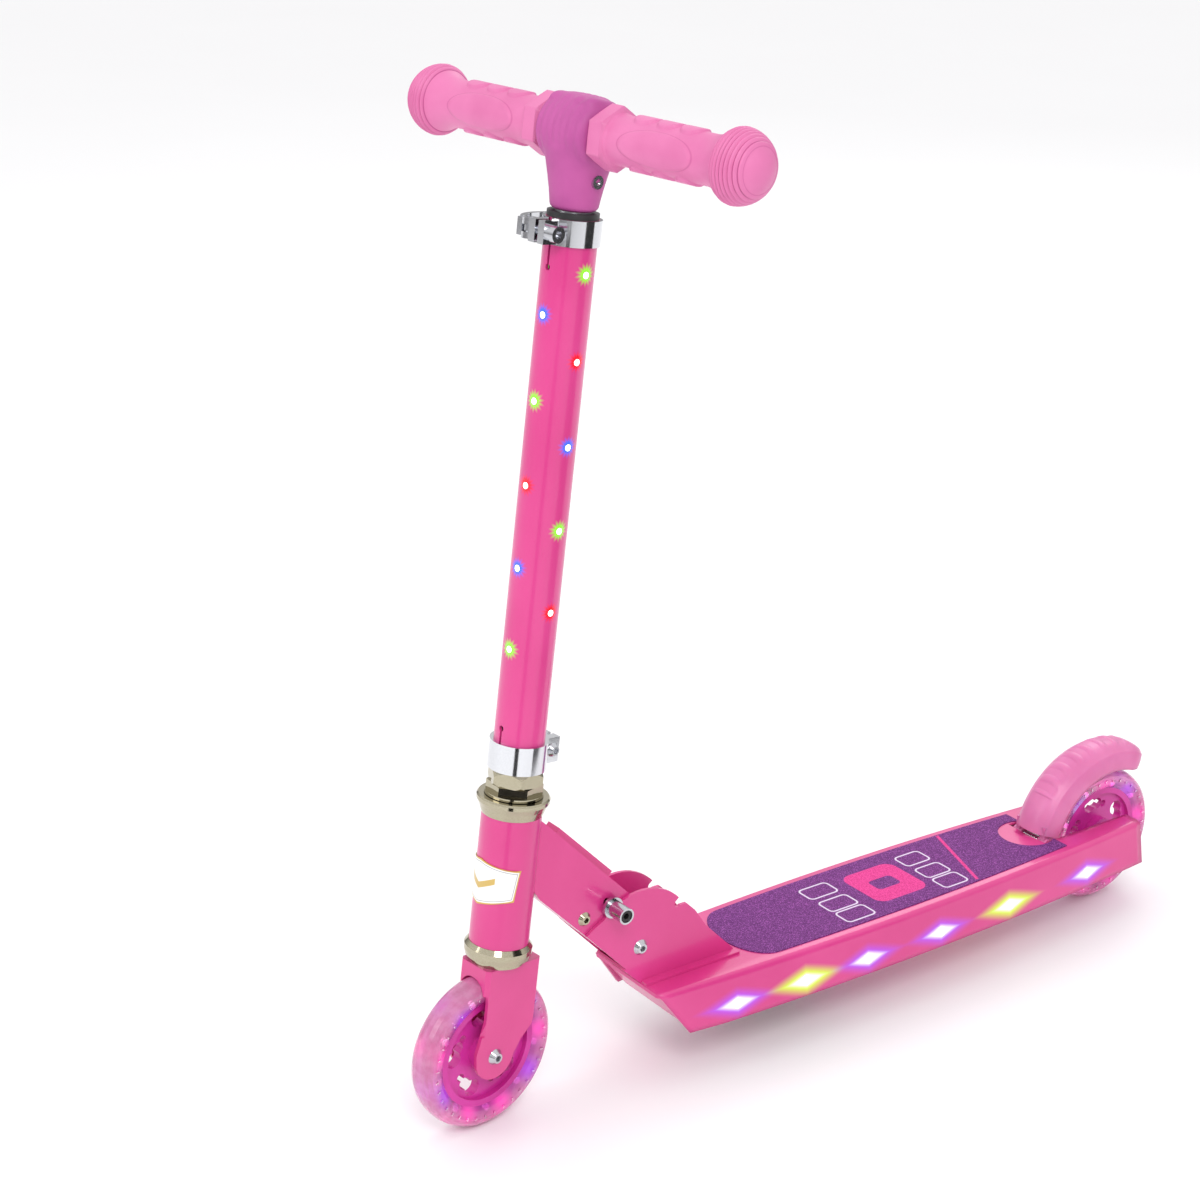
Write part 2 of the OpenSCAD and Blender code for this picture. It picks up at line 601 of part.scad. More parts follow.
module split_clamp(r, h, s0, ear_n, ear_half) {
  difference() {
    union() {
      translate([0, 0, s0]) cylinder(r = r, h = h, $fn = 96);
      translate([stem_r - 3, -ear_half, s0 + 1]) cube([ear_n - stem_r + 8.5, 2 * ear_half, h - 2]);
    }
    translate([0, 0, s0 - 1]) cylinder(r = stem_r, h = h + 2, $fn = 96);
    translate([0, -ear_gap / 2, s0 - 1]) cube([60, ear_gap, h + 2]);
    translate([ear_n, 0, s0 + h / 2]) ycyl(pin_r, -40, 40);
  }
}
module lower_clamp() {
  color([0.85, 0.85, 0.87]) steered() rotate([0, 0, 180])
    split_clamp(clamp_low_r, clamp_h, stem_low_s, lever_n, 8.5);
}
module lower_clamp_bolt() {
  color([0.8, 0.8, 0.8]) steered() translate([-lever_n, 0, stem_low_s + clamp_h / 2])
    ybolt(pin_r, -8.5, 8.5, 5.4, 3);
}
top_clamp_r = stem_r + 1.9;
top_clamp_s = stem_top_s - top_clamp_h;
module top_clamp() {
  color([0.85, 0.85, 0.87]) steered() split_clamp(top_clamp_r, top_clamp_h, top_clamp_s, lever_n, 7.5);
}
module top_bush() {
  color([0.08, 0.08, 0.08]) steered() difference() {
    union() {
      translate([0, 0, stem_top_s]) cylinder(r = 17.8, h = bush_top_s - stem_top_s, $fn = 96);
      translate([0, 0, stem_top_s - 30]) cylinder(r = stem_in_r, h = 31, $fn = 96);
    }
    translate([0, 0, stem_top_s - 40]) cylinder(r = tbar_r + run_gap, h = 60, $fn = 96);
    translate([0, -1, stem_top_s - 31]) cube([30, 2, 30.8]);
  }
}
lever_s = top_clamp_s + top_clamp_h / 2;
module top_skewer() {
  color([0.8, 0.8, 0.8]) steered() translate([lever_n, 0, lever_s]) {
    ycyl(pin_r, lever_y + 5.6, 8);
    difference() {
      ycyl(5.6, 7.5, 16);
      ycyl(2.6, 12, 17);
    }
    // cross pin that the lever turns on
    translate([0, lever_y, -6.5]) cylinder(r = 2.5, h = 13, $fn = 48);
    difference() {
      union() {
        translate([0, lever_y, -2]) cylinder(r = 3.6, h = 4, $fn = 64);
        translate([-3, lever_y, -2]) cube([6, 6, 4]);
      }
      translate([0, lever_y, -10]) cylinder(r = 2.4, h = 20, $fn = 48);
    }
  }
}
module clamp_lever() {
  lever_h = 13;
  color([0.85, 0.85, 0.87]) steered() difference() {
    union() {
      translate([lever_n, lever_y, lever_s - lever_h / 2 - 0.4]) cylinder(r = 5.2, h = lever_h + 0.8, $fn = 64);
      translate([0, 0, lever_s - lever_h / 2]) intersection() {
        ring(35, 31, lever_h);
        linear_extrude(lever_h) polygon([[0, 0], for (a = [-40:-17:-125]) [80 * cos(a), 80 * sin(a)]]);
      }
      translate([lever_n, lever_y, lever_s - lever_h / 2 + 0.5]) rotate([0, 0, -88]) translate([3, -2, 0])
        cube([7, 4, lever_h - 1]);
    }
    translate([lever_n, lever_y, lever_s - 20]) cylinder(r = 2.5 + run_gap, h = 40, $fn = 48);
    // room for the skewer's head
    translate([lever_n - 9, lever_y - 3.8, lever_s - 2.5]) cube([18, 30, 5]);
    for (a = [-78, -100]) rotate([0, 0, a]) translate([28, 0, lever_s]) rotate([0, 90, 0])
      cylinder(r = 3.2, h = 12, $fn = 32);
  }
}
// ---------- T-bar, yoke and grips ----------
module t_bar() {
  color([0.85, 0.85, 0.87]) steered() difference() {
    union() {
      translate([0, 0, tbar_low_s]) cylinder(r = tbar_r, h = bar_s - tbar_low_s, $fn = 96);
      translate([0, 0, bar_s]) ycyl(11, -bar_w / 2 + 6, bar_w / 2 - 6);
    }
    translate([0, 0, tbar_low_s - 1]) cylinder(r = tbar_r - tbar_wall, h = bar_s - tbar_low_s - 6, $fn = 96);
    translate([0, 0, bar_s]) ycyl(9.2, -bar_w, bar_w);
    translate([0, 0, bar_s - 30.5]) ycyl(2.5, 0, 40);
  }
}
module yoke() {
  color([0.7, 0.3, 0.6]) steered() difference() {
    union() {
      hull() {
        translate([0, 0, bush_top_s]) cylinder(r = 17, h = 4, $fn = 32);
        translate([0, 0, bar_s - 28]) scale([1, 1.05, 1]) cylinder(r = 20.5, h = 1, $fn = 32);
      }
      hull() {
        translate([0, 0, bar_s - 28]) scale([1, 1.05, 1]) cylinder(r = 20.5, h = 1, $fn = 32);
        translate([0, 0, bar_s]) rotate([90, 0, 0]) cylinder(r = 23.5, h = 40, center = true, $fn = 32);
        translate([0, 0, bar_s]) rotate([90, 0, 0]) cylinder(r = 20.5, h = 50, center = true, $fn = 32);
      }
    }
    translate([0, 0, bush_top_s - 1]) cylinder(r = tbar_r, h = bar_s - bush_top_s + 1, $fn = 96);
    translate([0, 0, bar_s]) ycyl(11, -60, 60);
    translate([0, 0, bar_s - 30.5]) ycyl(2.5, 0, 40);
    translate([0, 0, bar_s - 30.5]) ycyl(5.2, 18.6, 40);
  }
}
module yoke_bolt() {
  color([0.8, 0.8, 0.8]) steered() translate([0, 0, bar_s - 30.5]) difference() {
    union() {
      ycyl(2.5, tbar_r - 3, 18.7);
      ycyl(4.6, 18.6, 21);
    }
    ycyl(2.2, 19.8, 22);
  }
}
grip_in = 26;
dome_r = 24;
dome_y = bar_w / 2 - 25;
function dome_at(d) = sqrt(dome_r * dome_r - d * d);
// half outline of a grip: flange, body, flare, ringed dome and plain cap
function grip_outline() = concat(
  [[11, grip_in], [20.5, grip_in], [20.5, grip_in + 10], [grip_d / 2, grip_in + 10.5]],
  [for (i = [0:8]) let (k = i / 8) [grip_d / 2 + (dome_r - grip_d / 2) * (1 - cos(90 * k)), dome_y - 20 + 20 * k]],
  [for (i = [0:5], k = [0:3]) let (d = i * 2.7 + [0.2, 1.6, 1.6, 2.7][k])
    [dome_at(d) + [0.7, 0.7, 0, 0][k], dome_y + d]],
  [for (d = [18:1.5:23.9]) [dome_at(d), dome_y + d]],
  [[0, dome_y + dome_r], [0, dome_y + dome_r - 5], [11, dome_y + dome_r - 5]]);
module grip() {
  rotate([-90, 0, 0]) rotate_extrude($fn = 96) polygon(grip_outline());
  difference() {
    translate([0, grip_in + 9, 0]) rotate([90, 0, 0]) cylinder(r = 25, h = 8, $fn = 6);
    ycyl(15, 0, 60);
  }
}
module left_grip() { color([0.93, 0.5, 0.75]) bar_place() grip(); }
module right_grip() { color([0.93, 0.5, 0.75]) bar_place() mirror([0, 1, 0]) grip(); }

deck();
nose_plate();
grip_tape();
fold_bracket();
fold_bolt();
deck_lights();
battery_box();
battery_cover();
rear_dropouts();
rear_axle();
rear_spacers();
rear_bearing_inner();
rear_magnet();
fender_pin();
fender_spring();
rear_tyre();
rear_hub();
rear_lights();
rear_bearing_outer();
rear_fender();
head_tube();
neck_frame();
neck_strip();
neck_bolt();
badge();
lower_cup();
upper_cup();
lock_pin();
lock_insert();
fork();
crown_race();
headset_balls();
upper_cone();
locknut();
stem_tube();
stem_lights();
light_strips();
clamp_shim();
lower_clamp();
lower_clamp_bolt();
top_clamp();
top_bush();
top_skewer();
front_axle();
front_spacers();
front_bearing_inner();
front_magnet();
front_tyre();
front_hub();
front_lights();
front_bearing_outer();
clamp_lever();
t_bar();
yoke();
yoke_bolt();
left_grip();
right_grip();
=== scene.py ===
# %% [markdown]
# A folding kick scooter for a child. OpenSCAD holds every part at its real size, and this
# lesson dresses those parts in Blender. Painted steel, clear plastic wheels and moulded grips
# each get their own finish, and the soft moulded shapes are rebuilt as finer meshes.

# %% Load the frame
import json
import math
import bmesh
import bpy
from mathutils import Matrix, Vector


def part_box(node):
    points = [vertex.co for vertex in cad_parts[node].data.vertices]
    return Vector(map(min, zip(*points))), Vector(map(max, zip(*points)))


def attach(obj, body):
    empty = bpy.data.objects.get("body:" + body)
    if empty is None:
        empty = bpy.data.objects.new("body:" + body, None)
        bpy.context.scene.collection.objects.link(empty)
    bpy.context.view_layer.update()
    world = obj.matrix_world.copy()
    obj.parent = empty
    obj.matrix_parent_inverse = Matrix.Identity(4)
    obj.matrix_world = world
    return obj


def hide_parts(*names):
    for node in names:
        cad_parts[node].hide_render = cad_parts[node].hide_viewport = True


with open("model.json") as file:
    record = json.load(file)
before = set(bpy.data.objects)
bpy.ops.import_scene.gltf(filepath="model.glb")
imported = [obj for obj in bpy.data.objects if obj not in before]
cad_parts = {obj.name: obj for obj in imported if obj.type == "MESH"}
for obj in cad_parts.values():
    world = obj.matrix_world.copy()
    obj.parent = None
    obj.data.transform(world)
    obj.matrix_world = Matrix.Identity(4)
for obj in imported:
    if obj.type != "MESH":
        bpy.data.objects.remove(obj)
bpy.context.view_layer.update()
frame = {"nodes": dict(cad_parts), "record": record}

cad = frame["nodes"]
joints = {j["name"]: j for j in frame["record"]["behaviour"]["joints"]}
print("nodes:", len(cad), "joints:", len(joints))

# %% [markdown]
# The steering axis leans back and the bars stand turned a little to the left. The joints
# already say where the axis is, so the turned frame of the stem is read from them: n points
# forwards, y along the bar to the left, and s up the stem.

# %% The stem's own frame
stem_origin = Vector(joints["steering"]["pos_m"])
stem_up = Vector(joints["steering"]["axis"]).normalized()
stem_left = Vector(joints["front_wheel_spin"]["axis"]).normalized()
stem_ahead = stem_left.cross(stem_up).normalized()
STEM = Matrix((stem_ahead, stem_left, stem_up)).transposed().to_4x4()
STEM.translation = stem_origin
front_hub_at = Vector(joints["front_wheel_spin"]["pos_m"])
rear_hub_at = Vector(joints["rear_wheel_spin"]["pos_m"])
WHEEL_R = rear_hub_at.z
BAR_S = 0.6697
print("stem lean", round(math.degrees(math.acos(stem_up.z)), 1), "wheel radius", WHEEL_R)

# %% [markdown]
# The camera stands ahead of the scooter on its left, a little above the bars, and looks down
# at it. A real lens of about 73 mm from 1.6 m away gives the same gentle perspective.

# %% Camera
CAM_AT = Vector((1.1564, 1.3082, 1.0030))
CAM_YAW, CAM_PITCH, CAM_ROLL = map(math.radians, (-125.72, -20.82, 0.65))
ahead = Vector((math.cos(CAM_PITCH) * math.cos(CAM_YAW), math.cos(CAM_PITCH) * math.sin(CAM_YAW),
                math.sin(CAM_PITCH)))
right = ahead.cross(Vector((0, 0, 1))).normalized()
upward = right.cross(ahead)
roll_cos, roll_sin = math.cos(CAM_ROLL), math.sin(CAM_ROLL)
right, upward = roll_cos * right + roll_sin * upward, roll_cos * upward - roll_sin * right
cam_data = bpy.data.cameras.new("camera")
cam_data.lens = 72.75
cam_data.sensor_width = 36
camera = bpy.data.objects.new("camera", cam_data)
camera.matrix_world = Matrix.Translation(CAM_AT) @ Matrix((right, upward, -ahead)).transposed().to_4x4()
bpy.context.collection.objects.link(camera)
bpy.context.scene.camera = camera
print("camera", cam_data.lens, "mm lens,", round(CAM_AT.length, 2), "m away")

# %% [markdown]
# The floor and the light are a plain white studio: a large pale floor, a sky that is bright
# above and greyer at the horizon, a strong soft lamp over the left shoulder for the shape,
# and two weaker ones that fill the shadows.

# %% Studio
def area_lamp(name, place, aim, size, watts):
    data = bpy.data.lights.new(name, "AREA")
    data.energy, data.size = watts, size
    lamp = bpy.data.objects.new(name, data)
    facing = (Vector(aim) - Vector(place)).to_track_quat("-Z", "Y")
    lamp.matrix_world = Matrix.Translation(place) @ facing.to_matrix().to_4x4()
    bpy.context.collection.objects.link(lamp)

area_lamp("key", (1.4, 2.2, 2.6), (0, 0, 0.3), 1.1, 34)
area_lamp("fill", (2.6, -0.6, 1.6), (0, 0, 0.4), 1.2, 11)
area_lamp("back", (-2.2, -1.6, 2.2), (0, 0, 0.3), 1.4, 14)
sky = bpy.data.worlds.new("studio")
sky.use_nodes = True
backdrop = sky.node_tree.nodes["Background"]
look_way = sky.node_tree.nodes.new("ShaderNodeTexCoord")
height = sky.node_tree.nodes.new("ShaderNodeSeparateXYZ")
shade = sky.node_tree.nodes.new("ShaderNodeValToRGB")
shade.color_ramp.elements[0].position, shade.color_ramp.elements[0].color = 0.02, (0.26, 0.255, 0.26, 1)
shade.color_ramp.elements[1].position, shade.color_ramp.elements[1].color = 0.42, (1.0, 0.995, 1.0, 1)
sky.node_tree.links.new(look_way.outputs["Generated"], height.inputs[0])
sky.node_tree.links.new(height.outputs["Z"], shade.inputs[0])
sky.node_tree.links.new(shade.outputs[0], backdrop.inputs[0])
backdrop.inputs[1].default_value = 1.05
bpy.context.scene.world = sky
bpy.context.scene.view_settings.view_transform = "Standard"

def new_object(name, verts, faces, smooth=True):
    mesh = bpy.data.meshes.new(name)
    mesh.from_pydata([tuple(v) for v in verts], [], faces)
    mesh.update()
    obj = bpy.data.objects.new(name, mesh)
    bpy.context.collection.objects.link(obj)
    for p in mesh.polygons:
        p.use_smooth = smooth
    return obj

FLOOR_HALF, FLOOR_Z = 9, -0.0006
floor = new_object("floor", [(x * FLOOR_HALF, y * FLOOR_HALF, FLOOR_Z)
                             for x, y in ((-1, -1), (1, -1), (1, 1), (-1, 1))], [(0, 1, 2, 3)])
print("floor", 2 * FLOOR_HALF, "m wide, three lamps and a graded sky")

# %% [markdown]
# Polished metal shows what stands around it. Two dark cards near the stem are seen only in
# reflections, so the clamps and rings get the dark bands that make them read as metal.

# %% Dark cards
def card(name, bearing, distance, width, height):
    out = Vector((math.cos(bearing), math.sin(bearing), 0))
    across = Vector((-out.y, out.x, 0)) * width / 2
    low = Vector((0.25, 0, 0)) + out * distance
    high = low + Vector((0, 0, height))
    corners = [low - across, low + across, high + across, high - across]
    made = new_object(name, corners, [(0, 1, 2, 3)])
    made.visible_camera = made.visible_diffuse = False
    made.visible_shadow = made.visible_transmission = False
    return made

CARD_AWAY, CARD_HIGH = 0.6, 0.62
cards = [card("card_side", math.radians(128), CARD_AWAY, 0.42, CARD_HIGH),
         card("card_front", math.radians(46), CARD_AWAY, 0.15, CARD_HIGH)]
print("cards:", [c.name for c in cards])

# %% [markdown]
# Shader maths reads best as ordinary sums. This small class wraps a node's socket, so that
# a mask can be written as an expression and every operator adds one Math node.

# %% Shader expressions
class Value:
    def __init__(self, book, socket):
        self.book, self.socket = book, socket

    def _math(self, kind, a, b=0.0, c=None):
        made = {0: a, 1: b}
        if c is not None:
            made[2] = c
        return self.book.node("ShaderNodeMath", {"operation": kind}, made)

    def __add__(self, o): return self._math("ADD", self, o)
    def __radd__(self, o): return self._math("ADD", o, self)
    def __sub__(self, o): return self._math("SUBTRACT", self, o)
    def __rsub__(self, o): return self._math("SUBTRACT", o, self)
    def __mul__(self, o): return self._math("MULTIPLY", self, o)
    def __rmul__(self, o): return self._math("MULTIPLY", o, self)
    def __truediv__(self, o): return self._math("DIVIDE", self, o)
    def __rtruediv__(self, o): return self._math("DIVIDE", o, self)
    def __pow__(self, o): return self._math("POWER", self, o)
    def __neg__(self): return self._math("MULTIPLY", self, -1.0)
    def __abs__(self): return self._math("ABSOLUTE", self)
    def floor(self): return self._math("FLOOR", self)
    def sin(self): return self._math("SINE", self)
    def cos(self): return self._math("COSINE", self)
    def sqrt(self): return self._math("SQRT", self)
    def atan2(self, o): return self._math("ARCTAN2", self, o)
    def wrap(self, o): return self._math("FLOORED_MODULO", self, o)
    def least(self, o): return self._math("MINIMUM", self, o)
    def most(self, o): return self._math("MAXIMUM", self, o)

    def step(self, low, high):
        """0 below low, 1 above high, smooth between."""
        return self.book.node("ShaderNodeMapRange", {"interpolation_type": "SMOOTHSTEP"},
                              {"Value": self, "From Min": low, "From Max": high})

    def fade(self, reach):
        """1 at zero, falling to 0 at reach."""
        return 1 - self.step(0.0, reach)


class Book:
    """One material: its nodes, its coordinates and its Principled shader."""
    def __init__(self, name, **fixed):
        self.mat = bpy.data.materials.new(name)
        self.mat.use_nodes = True
        self.tree = self.mat.node_tree
        self.shader = self.tree.nodes["Principled BSDF"]
        self.place = self.node("ShaderNodeTexCoord", {}, {}, out="Object")
        for key, value in fixed.items():
            self.set(key, value)

    def node(self, kind, settings, inputs, out=0):
        made = self.tree.nodes.new(kind)
        for key, value in settings.items():
            setattr(made, key, value)
        for key, value in inputs.items():
            if isinstance(value, Value):
                self.tree.links.new(value.socket, made.inputs[key])
            elif value is not None:
                made.inputs[key].default_value = value
        return Value(self, made.outputs[out])

    def set(self, key, value):
        socket = self.shader.inputs[key.replace("_", " ")]
        if isinstance(value, Value):
            self.tree.links.new(value.socket, socket)
        else:
            socket.default_value = value

    def along(self, direction, origin):
        """Distance along a direction from an origin, in metres."""
        moved = self.node("ShaderNodeVectorMath", {"operation": "SUBTRACT"},
                          {0: self.place, 1: tuple(origin)})
        return self.node("ShaderNodeVectorMath", {"operation": "DOT_PRODUCT"},
                         {0: moved, 1: tuple(direction)}, out="Value")

    def noise(self, scale, detail=3.0, rough=0.5):
        return self.node("ShaderNodeTexNoise", {}, {"Vector": self.place, "Scale": scale,
                                                    "Detail": detail, "Roughness": rough})

    def mix(self, mask, low, high):
        fit = lambda c: c if isinstance(c, Value) else tuple(c) + (1,)
        return self.node("ShaderNodeMix", {"data_type": "RGBA"}, {0: mask, 6: fit(low), 7: fit(high)}, out=2)

    def bump(self, height, depth, strength=1.0):
        self.set("Normal", self.node("ShaderNodeBump", {}, {"Height": height, "Distance": depth,
                                                            "Strength": strength}))

print("shader expressions ready")

# %% [markdown]
# Gloss paint on steel is smooth to the eye, yet it is never perfectly flat: a faint orange
# peel bends the highlights, and its roughness drifts a little. One recipe serves the deck,
# fork, neck and stem; lights add their glow on top of it.

# %% Pink paint
PINK = (0.70, 0.052, 0.262)
PINK_DEEP = (0.64, 0.036, 0.225)

def paint(name):
    book = Book(name, Coat_Weight=0.35, Coat_Roughness=0.08)
    drift = book.noise(9.0)
    book.colour = book.mix(drift.step(0.35, 0.7), PINK_DEEP, PINK)
    book.set("Roughness", 0.26 + 0.1 * book.noise(70.0))
    book.bump(book.noise(420.0, 1.0), 0.0002, 0.3)
    book.set("Base Color", book.colour)
    return book

GREEN, BLUE, RED = (0.25, 0.8, 0.03), (0.05, 0.13, 0.9), (0.85, 0.0, 0.01)
VIOLET, LIME = (0.42, 0.06, 0.72), (0.62, 0.85, 0.03)
LIGHT_S0, LIGHT_STEP, LIGHT_REACH = 0.3122, 0.0295, 0.0092

def star(across, along, reach):
    """A round glow with 14 short rays, 1 in the middle."""
    far = (across * across + along * along).sqrt()
    rays = 0.88 + 0.12 * (across.atan2(along) * 14.0).cos()
    return (far / rays).fade(reach)

stem_paint = paint("stem_paint")
s = stem_paint.along(stem_up, stem_origin)
n = stem_paint.along(stem_ahead, stem_origin)
y = stem_paint.along(stem_left, stem_origin)
count = ((s - LIGHT_S0) / LIGHT_STEP + 0.5).floor()
odd = count.wrap(2.0)
across = odd * n + (1 - odd) * y
glow = star(across, s - LIGHT_S0 - count * LIGHT_STEP, LIGHT_REACH)
above_first = s.step(LIGHT_S0 - 0.014, LIGHT_S0 - 0.013)
past_last = s.step(LIGHT_S0 + 9.45 * LIGHT_STEP, LIGHT_S0 + 9.5 * LIGHT_STEP)
glow = glow * (above_first * (1 - past_last))
kind = count.wrap(3.0)
hue = stem_paint.mix(kind.step(0.4, 0.6), GREEN, RED)
hue = stem_paint.mix(kind.step(1.4, 1.6), hue, BLUE)
stem_paint.set("Base Color", stem_paint.mix((glow * 1.7).least(1.0), stem_paint.colour, hue))
stem_paint.set("Emission Color", stem_paint.mix(glow, (0, 0, 0), hue))
stem_paint.set("Emission Strength", 0.45)
body_paint = paint("body_paint")
print("paint recipes ready, light spacing", LIGHT_STEP)

# %% [markdown]
# The lights behind the deck's sides throw long diamonds of light along the painted wall:
# a white heart, then violet or lime. Each diamond is a sum of two distances, one along the
# deck and one up it, so it needs no picture.

# %% Deck paint with light diamonds
deck_lo, deck_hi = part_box("deck")
DECK_TOP = deck_hi[2]
FRONT_X = -rear_hub_at.x
LIGHT_Z = DECK_TOP - 0.0245
deck_paint = paint("deck_paint")
px = deck_paint.along((1, 0, 0), (0, 0, 0))
py = deck_paint.along((0, 1, 0), (0, 0, 0))
pz = deck_paint.along((0, 0, 1), (0, 0, LIGHT_Z))
side_face = abs(py).step(0.032, 0.036) * (1 - pz.step(0.0195, 0.0225))
DIAMONDS = ((0.202, VIOLET), (0.268, LIME), (0.331, VIOLET), (0.409, VIOLET), (0.488, LIME), (0.584, VIOLET))
DIAMOND_LONG, DIAMOND_HIGH, DIAMOND_POWER, TINY = 0.046, 0.0150, 1.05, 0.0001
deck_colour, deck_glow = deck_paint.colour, (0, 0, 0)
for gap, tint in DIAMONDS:
    du = abs(px - (FRONT_X - gap)) / DIAMOND_LONG
    dv = abs(pz) / DIAMOND_HIGH
    reach = (du + TINY) ** DIAMOND_POWER + (dv + TINY) ** DIAMOND_POWER
    halo = reach.fade(1.0) * side_face
    heart = (reach * 2.0).fade(1.0) * side_face
    lit = deck_paint.mix((heart * 1.6).least(1.0), tint, (0.95, 0.93, 1.0))
    deck_colour = deck_paint.mix((halo * 1.5).least(1.0), deck_colour, lit)
    deck_glow = deck_paint.mix((halo * 0.9).least(1.0), deck_glow, lit)
deck_paint.set("Base Color", deck_colour)
deck_paint.set("Emission Color", deck_glow)
deck_paint.set("Emission Strength", 0.3)
print("deck paint with", len(DIAMONDS), "diamonds a side")

# %% [markdown]
# The metal parts differ mostly in how they reflect: polished aluminium clamps, yellowish
# nickel headset rings, and plain zinc on bolts. Fine brushed streaks come from noise.

# %% Metals and plain plastics
def metal(name, low, high, rough, grain=900.0):
    book = Book(name, Metallic=1.0)
    streak = book.noise(grain, 2.0)
    book.set("Base Color", book.mix(streak.step(0.3, 0.7), low, high))
    book.set("Roughness", rough + 0.06 * book.noise(60.0))
    book.bump(streak, 0.000012, 0.25)
    return book

aluminium = metal("polished_aluminium", (0.66, 0.67, 0.7), (0.74, 0.75, 0.78), 0.09, 1500.0)
nickel = metal("warm_nickel", (0.40, 0.365, 0.26), (0.48, 0.44, 0.33), 0.07, 1500.0)
zinc = metal("zinc_plate", (0.5, 0.51, 0.54), (0.58, 0.59, 0.62), 0.16, 1500.0)
dark_metal = metal("dark_magnet", (0.07, 0.07, 0.075), (0.12, 0.12, 0.13), 0.4)

def plastic(name, low, high, rough, grain, depth, **fixed):
    book = Book(name, **fixed)
    speck = book.noise(grain, 3.0)
    book.colour = book.mix(book.noise(25.0).step(0.3, 0.7), low, high)
    book.set("Base Color", book.colour)
    book.set("Roughness", rough + 0.12 * speck)
    book.bump(speck, depth, 0.5)
    return book

grip_plastic = plastic("grip_satin", (0.66, 0.15, 0.36), (0.72, 0.185, 0.41), 0.42, 900.0, 0.00012)
yoke_plastic = plastic("yoke_matte", (0.42, 0.062, 0.27), (0.50, 0.085, 0.32), 0.5, 1300.0, 0.00012)
black_plastic = plastic("black_moulding", (0.012, 0.012, 0.013), (0.03, 0.03, 0.032), 0.38, 800.0, 0.0001)
hub_plastic = plastic("hub_magenta", (0.52, 0.015, 0.26), (0.66, 0.035, 0.36), 0.25, 500.0, 0.0001)
fender_plastic = plastic("fender_clear_pink", (0.64, 0.15, 0.36), (0.72, 0.2, 0.43), 0.28, 500.0, 0.0001,
                         Subsurface_Weight=0.25)
fender_plastic.shader.inputs["Subsurface Radius"].default_value = (0.006, 0.002, 0.003)
fender_plastic.shader.inputs["Subsurface Scale"].default_value = 1.0
print("metals and plain plastics ready")

# %% [markdown]
# The tyres are cast clear plastic with nine lights in each. The glow inside is painted by
# angle around the hub: pink and violet turn about, strongest near each light, over a plastic
# that looks deeper in colour towards the hub.

# %% Clear tyres
TYRE_LIGHTS = 9

def tyre_plastic(name, centre, axis, up):
    book = Book(name, Roughness=0.12, IOR=1.4, Transmission_Weight=0.5, Coat_Weight=0.3)
    side = Vector(axis).cross(Vector(up)).normalized()
    u, v = book.along(side, centre), book.along(up, centre)
    turn = u.atan2(v) * (TYRE_LIGHTS / (2 * math.pi))
    near = abs((turn + 0.5).wrap(1.0) - 0.5) * 2
    radius = (u * u + v * v).sqrt()
    band = abs(radius - (WHEEL_R - 0.013)).fade(0.011)
    lit = near.fade(0.85) * band
    every_other = (turn + 0.5).floor().wrap(2.0).step(0.4, 0.6)
    tint = book.mix(every_other, (0.95, 0.07, 0.48), (0.38, 0.06, 0.72))
    cloud = book.noise(160.0)
    clear = book.mix(cloud.step(0.3, 0.7), (0.80, 0.27, 0.52), (0.88, 0.38, 0.64))
    deep = radius.step(WHEEL_R - 0.017, WHEEL_R - 0.005)
    clear = book.mix(deep, (0.45, 0.05, 0.36), clear)
    book.set("Base Color", book.mix((lit * 0.9).least(1.0), clear, tint))
    book.set("Emission Color", book.mix(lit, (0, 0, 0), tint))
    book.set("Emission Strength", 0.35)
    book.bump(cloud, 0.0003, 0.2)
    return book

front_tyre_look = tyre_plastic("front_tyre_clear", front_hub_at, stem_left, stem_up)
rear_tyre_look = tyre_plastic("rear_tyre_clear", rear_hub_at, (0, 1, 0), (0, 0, 1))

lens = Book("light_lens", Roughness=0.2, Emission_Strength=1.6, IOR=1.46)
lens.set("Base Color", lens.mix(lens.noise(300.0), (0.95, 0.9, 1.0), (1, 1, 1)))
lens.set("Emission Color", lens.mix(lens.noise(300.0), (0.95, 0.85, 1.0), (1, 1, 1)))
print("tyres:", front_tyre_look.mat.name, rear_tyre_look.mat.name)

# %% [markdown]
# Grip tape is a sheet of glued grit, so its colour breaks into thousands of sparkling
# specks. The print on it is a slanted stripe, a rounded block and a few open outlines,
# drawn from distances to their edges.

# %% Grip tape
tape = Book("grip_tape_grit", Roughness=0.8)
tape_x = tape.along((1, 0, 0), (FRONT_X - 0.395, 0, 0))
tape_y = tape.along((0, 1, 0), (0, 0, 0))
grit = tape.node("ShaderNodeTexVoronoi", {"feature": "F1"}, {"Vector": tape.place, "Scale": 1900.0}, out="Color")
fleck = tape.node("ShaderNodeSeparateColor", {}, {"Color": grit}, out="Red")
ground = tape.mix(fleck.step(0.55, 1.0), (0.13, 0.013, 0.16), (0.42, 0.1, 0.46))

def block(cx, cy, half_x, half_y, round_r):
    """Distance outside a rounded block; negative inside."""
    qx = (abs(tape_x - cx) - (half_x - round_r)).most(0.0)
    qy = (abs(tape_y - cy) - (half_y - round_r)).most(0.0)
    return (qx * qx + qy * qy).sqrt() - round_r

def inside(distance):
    return 1 - distance.step(-0.0003, 0.0003)

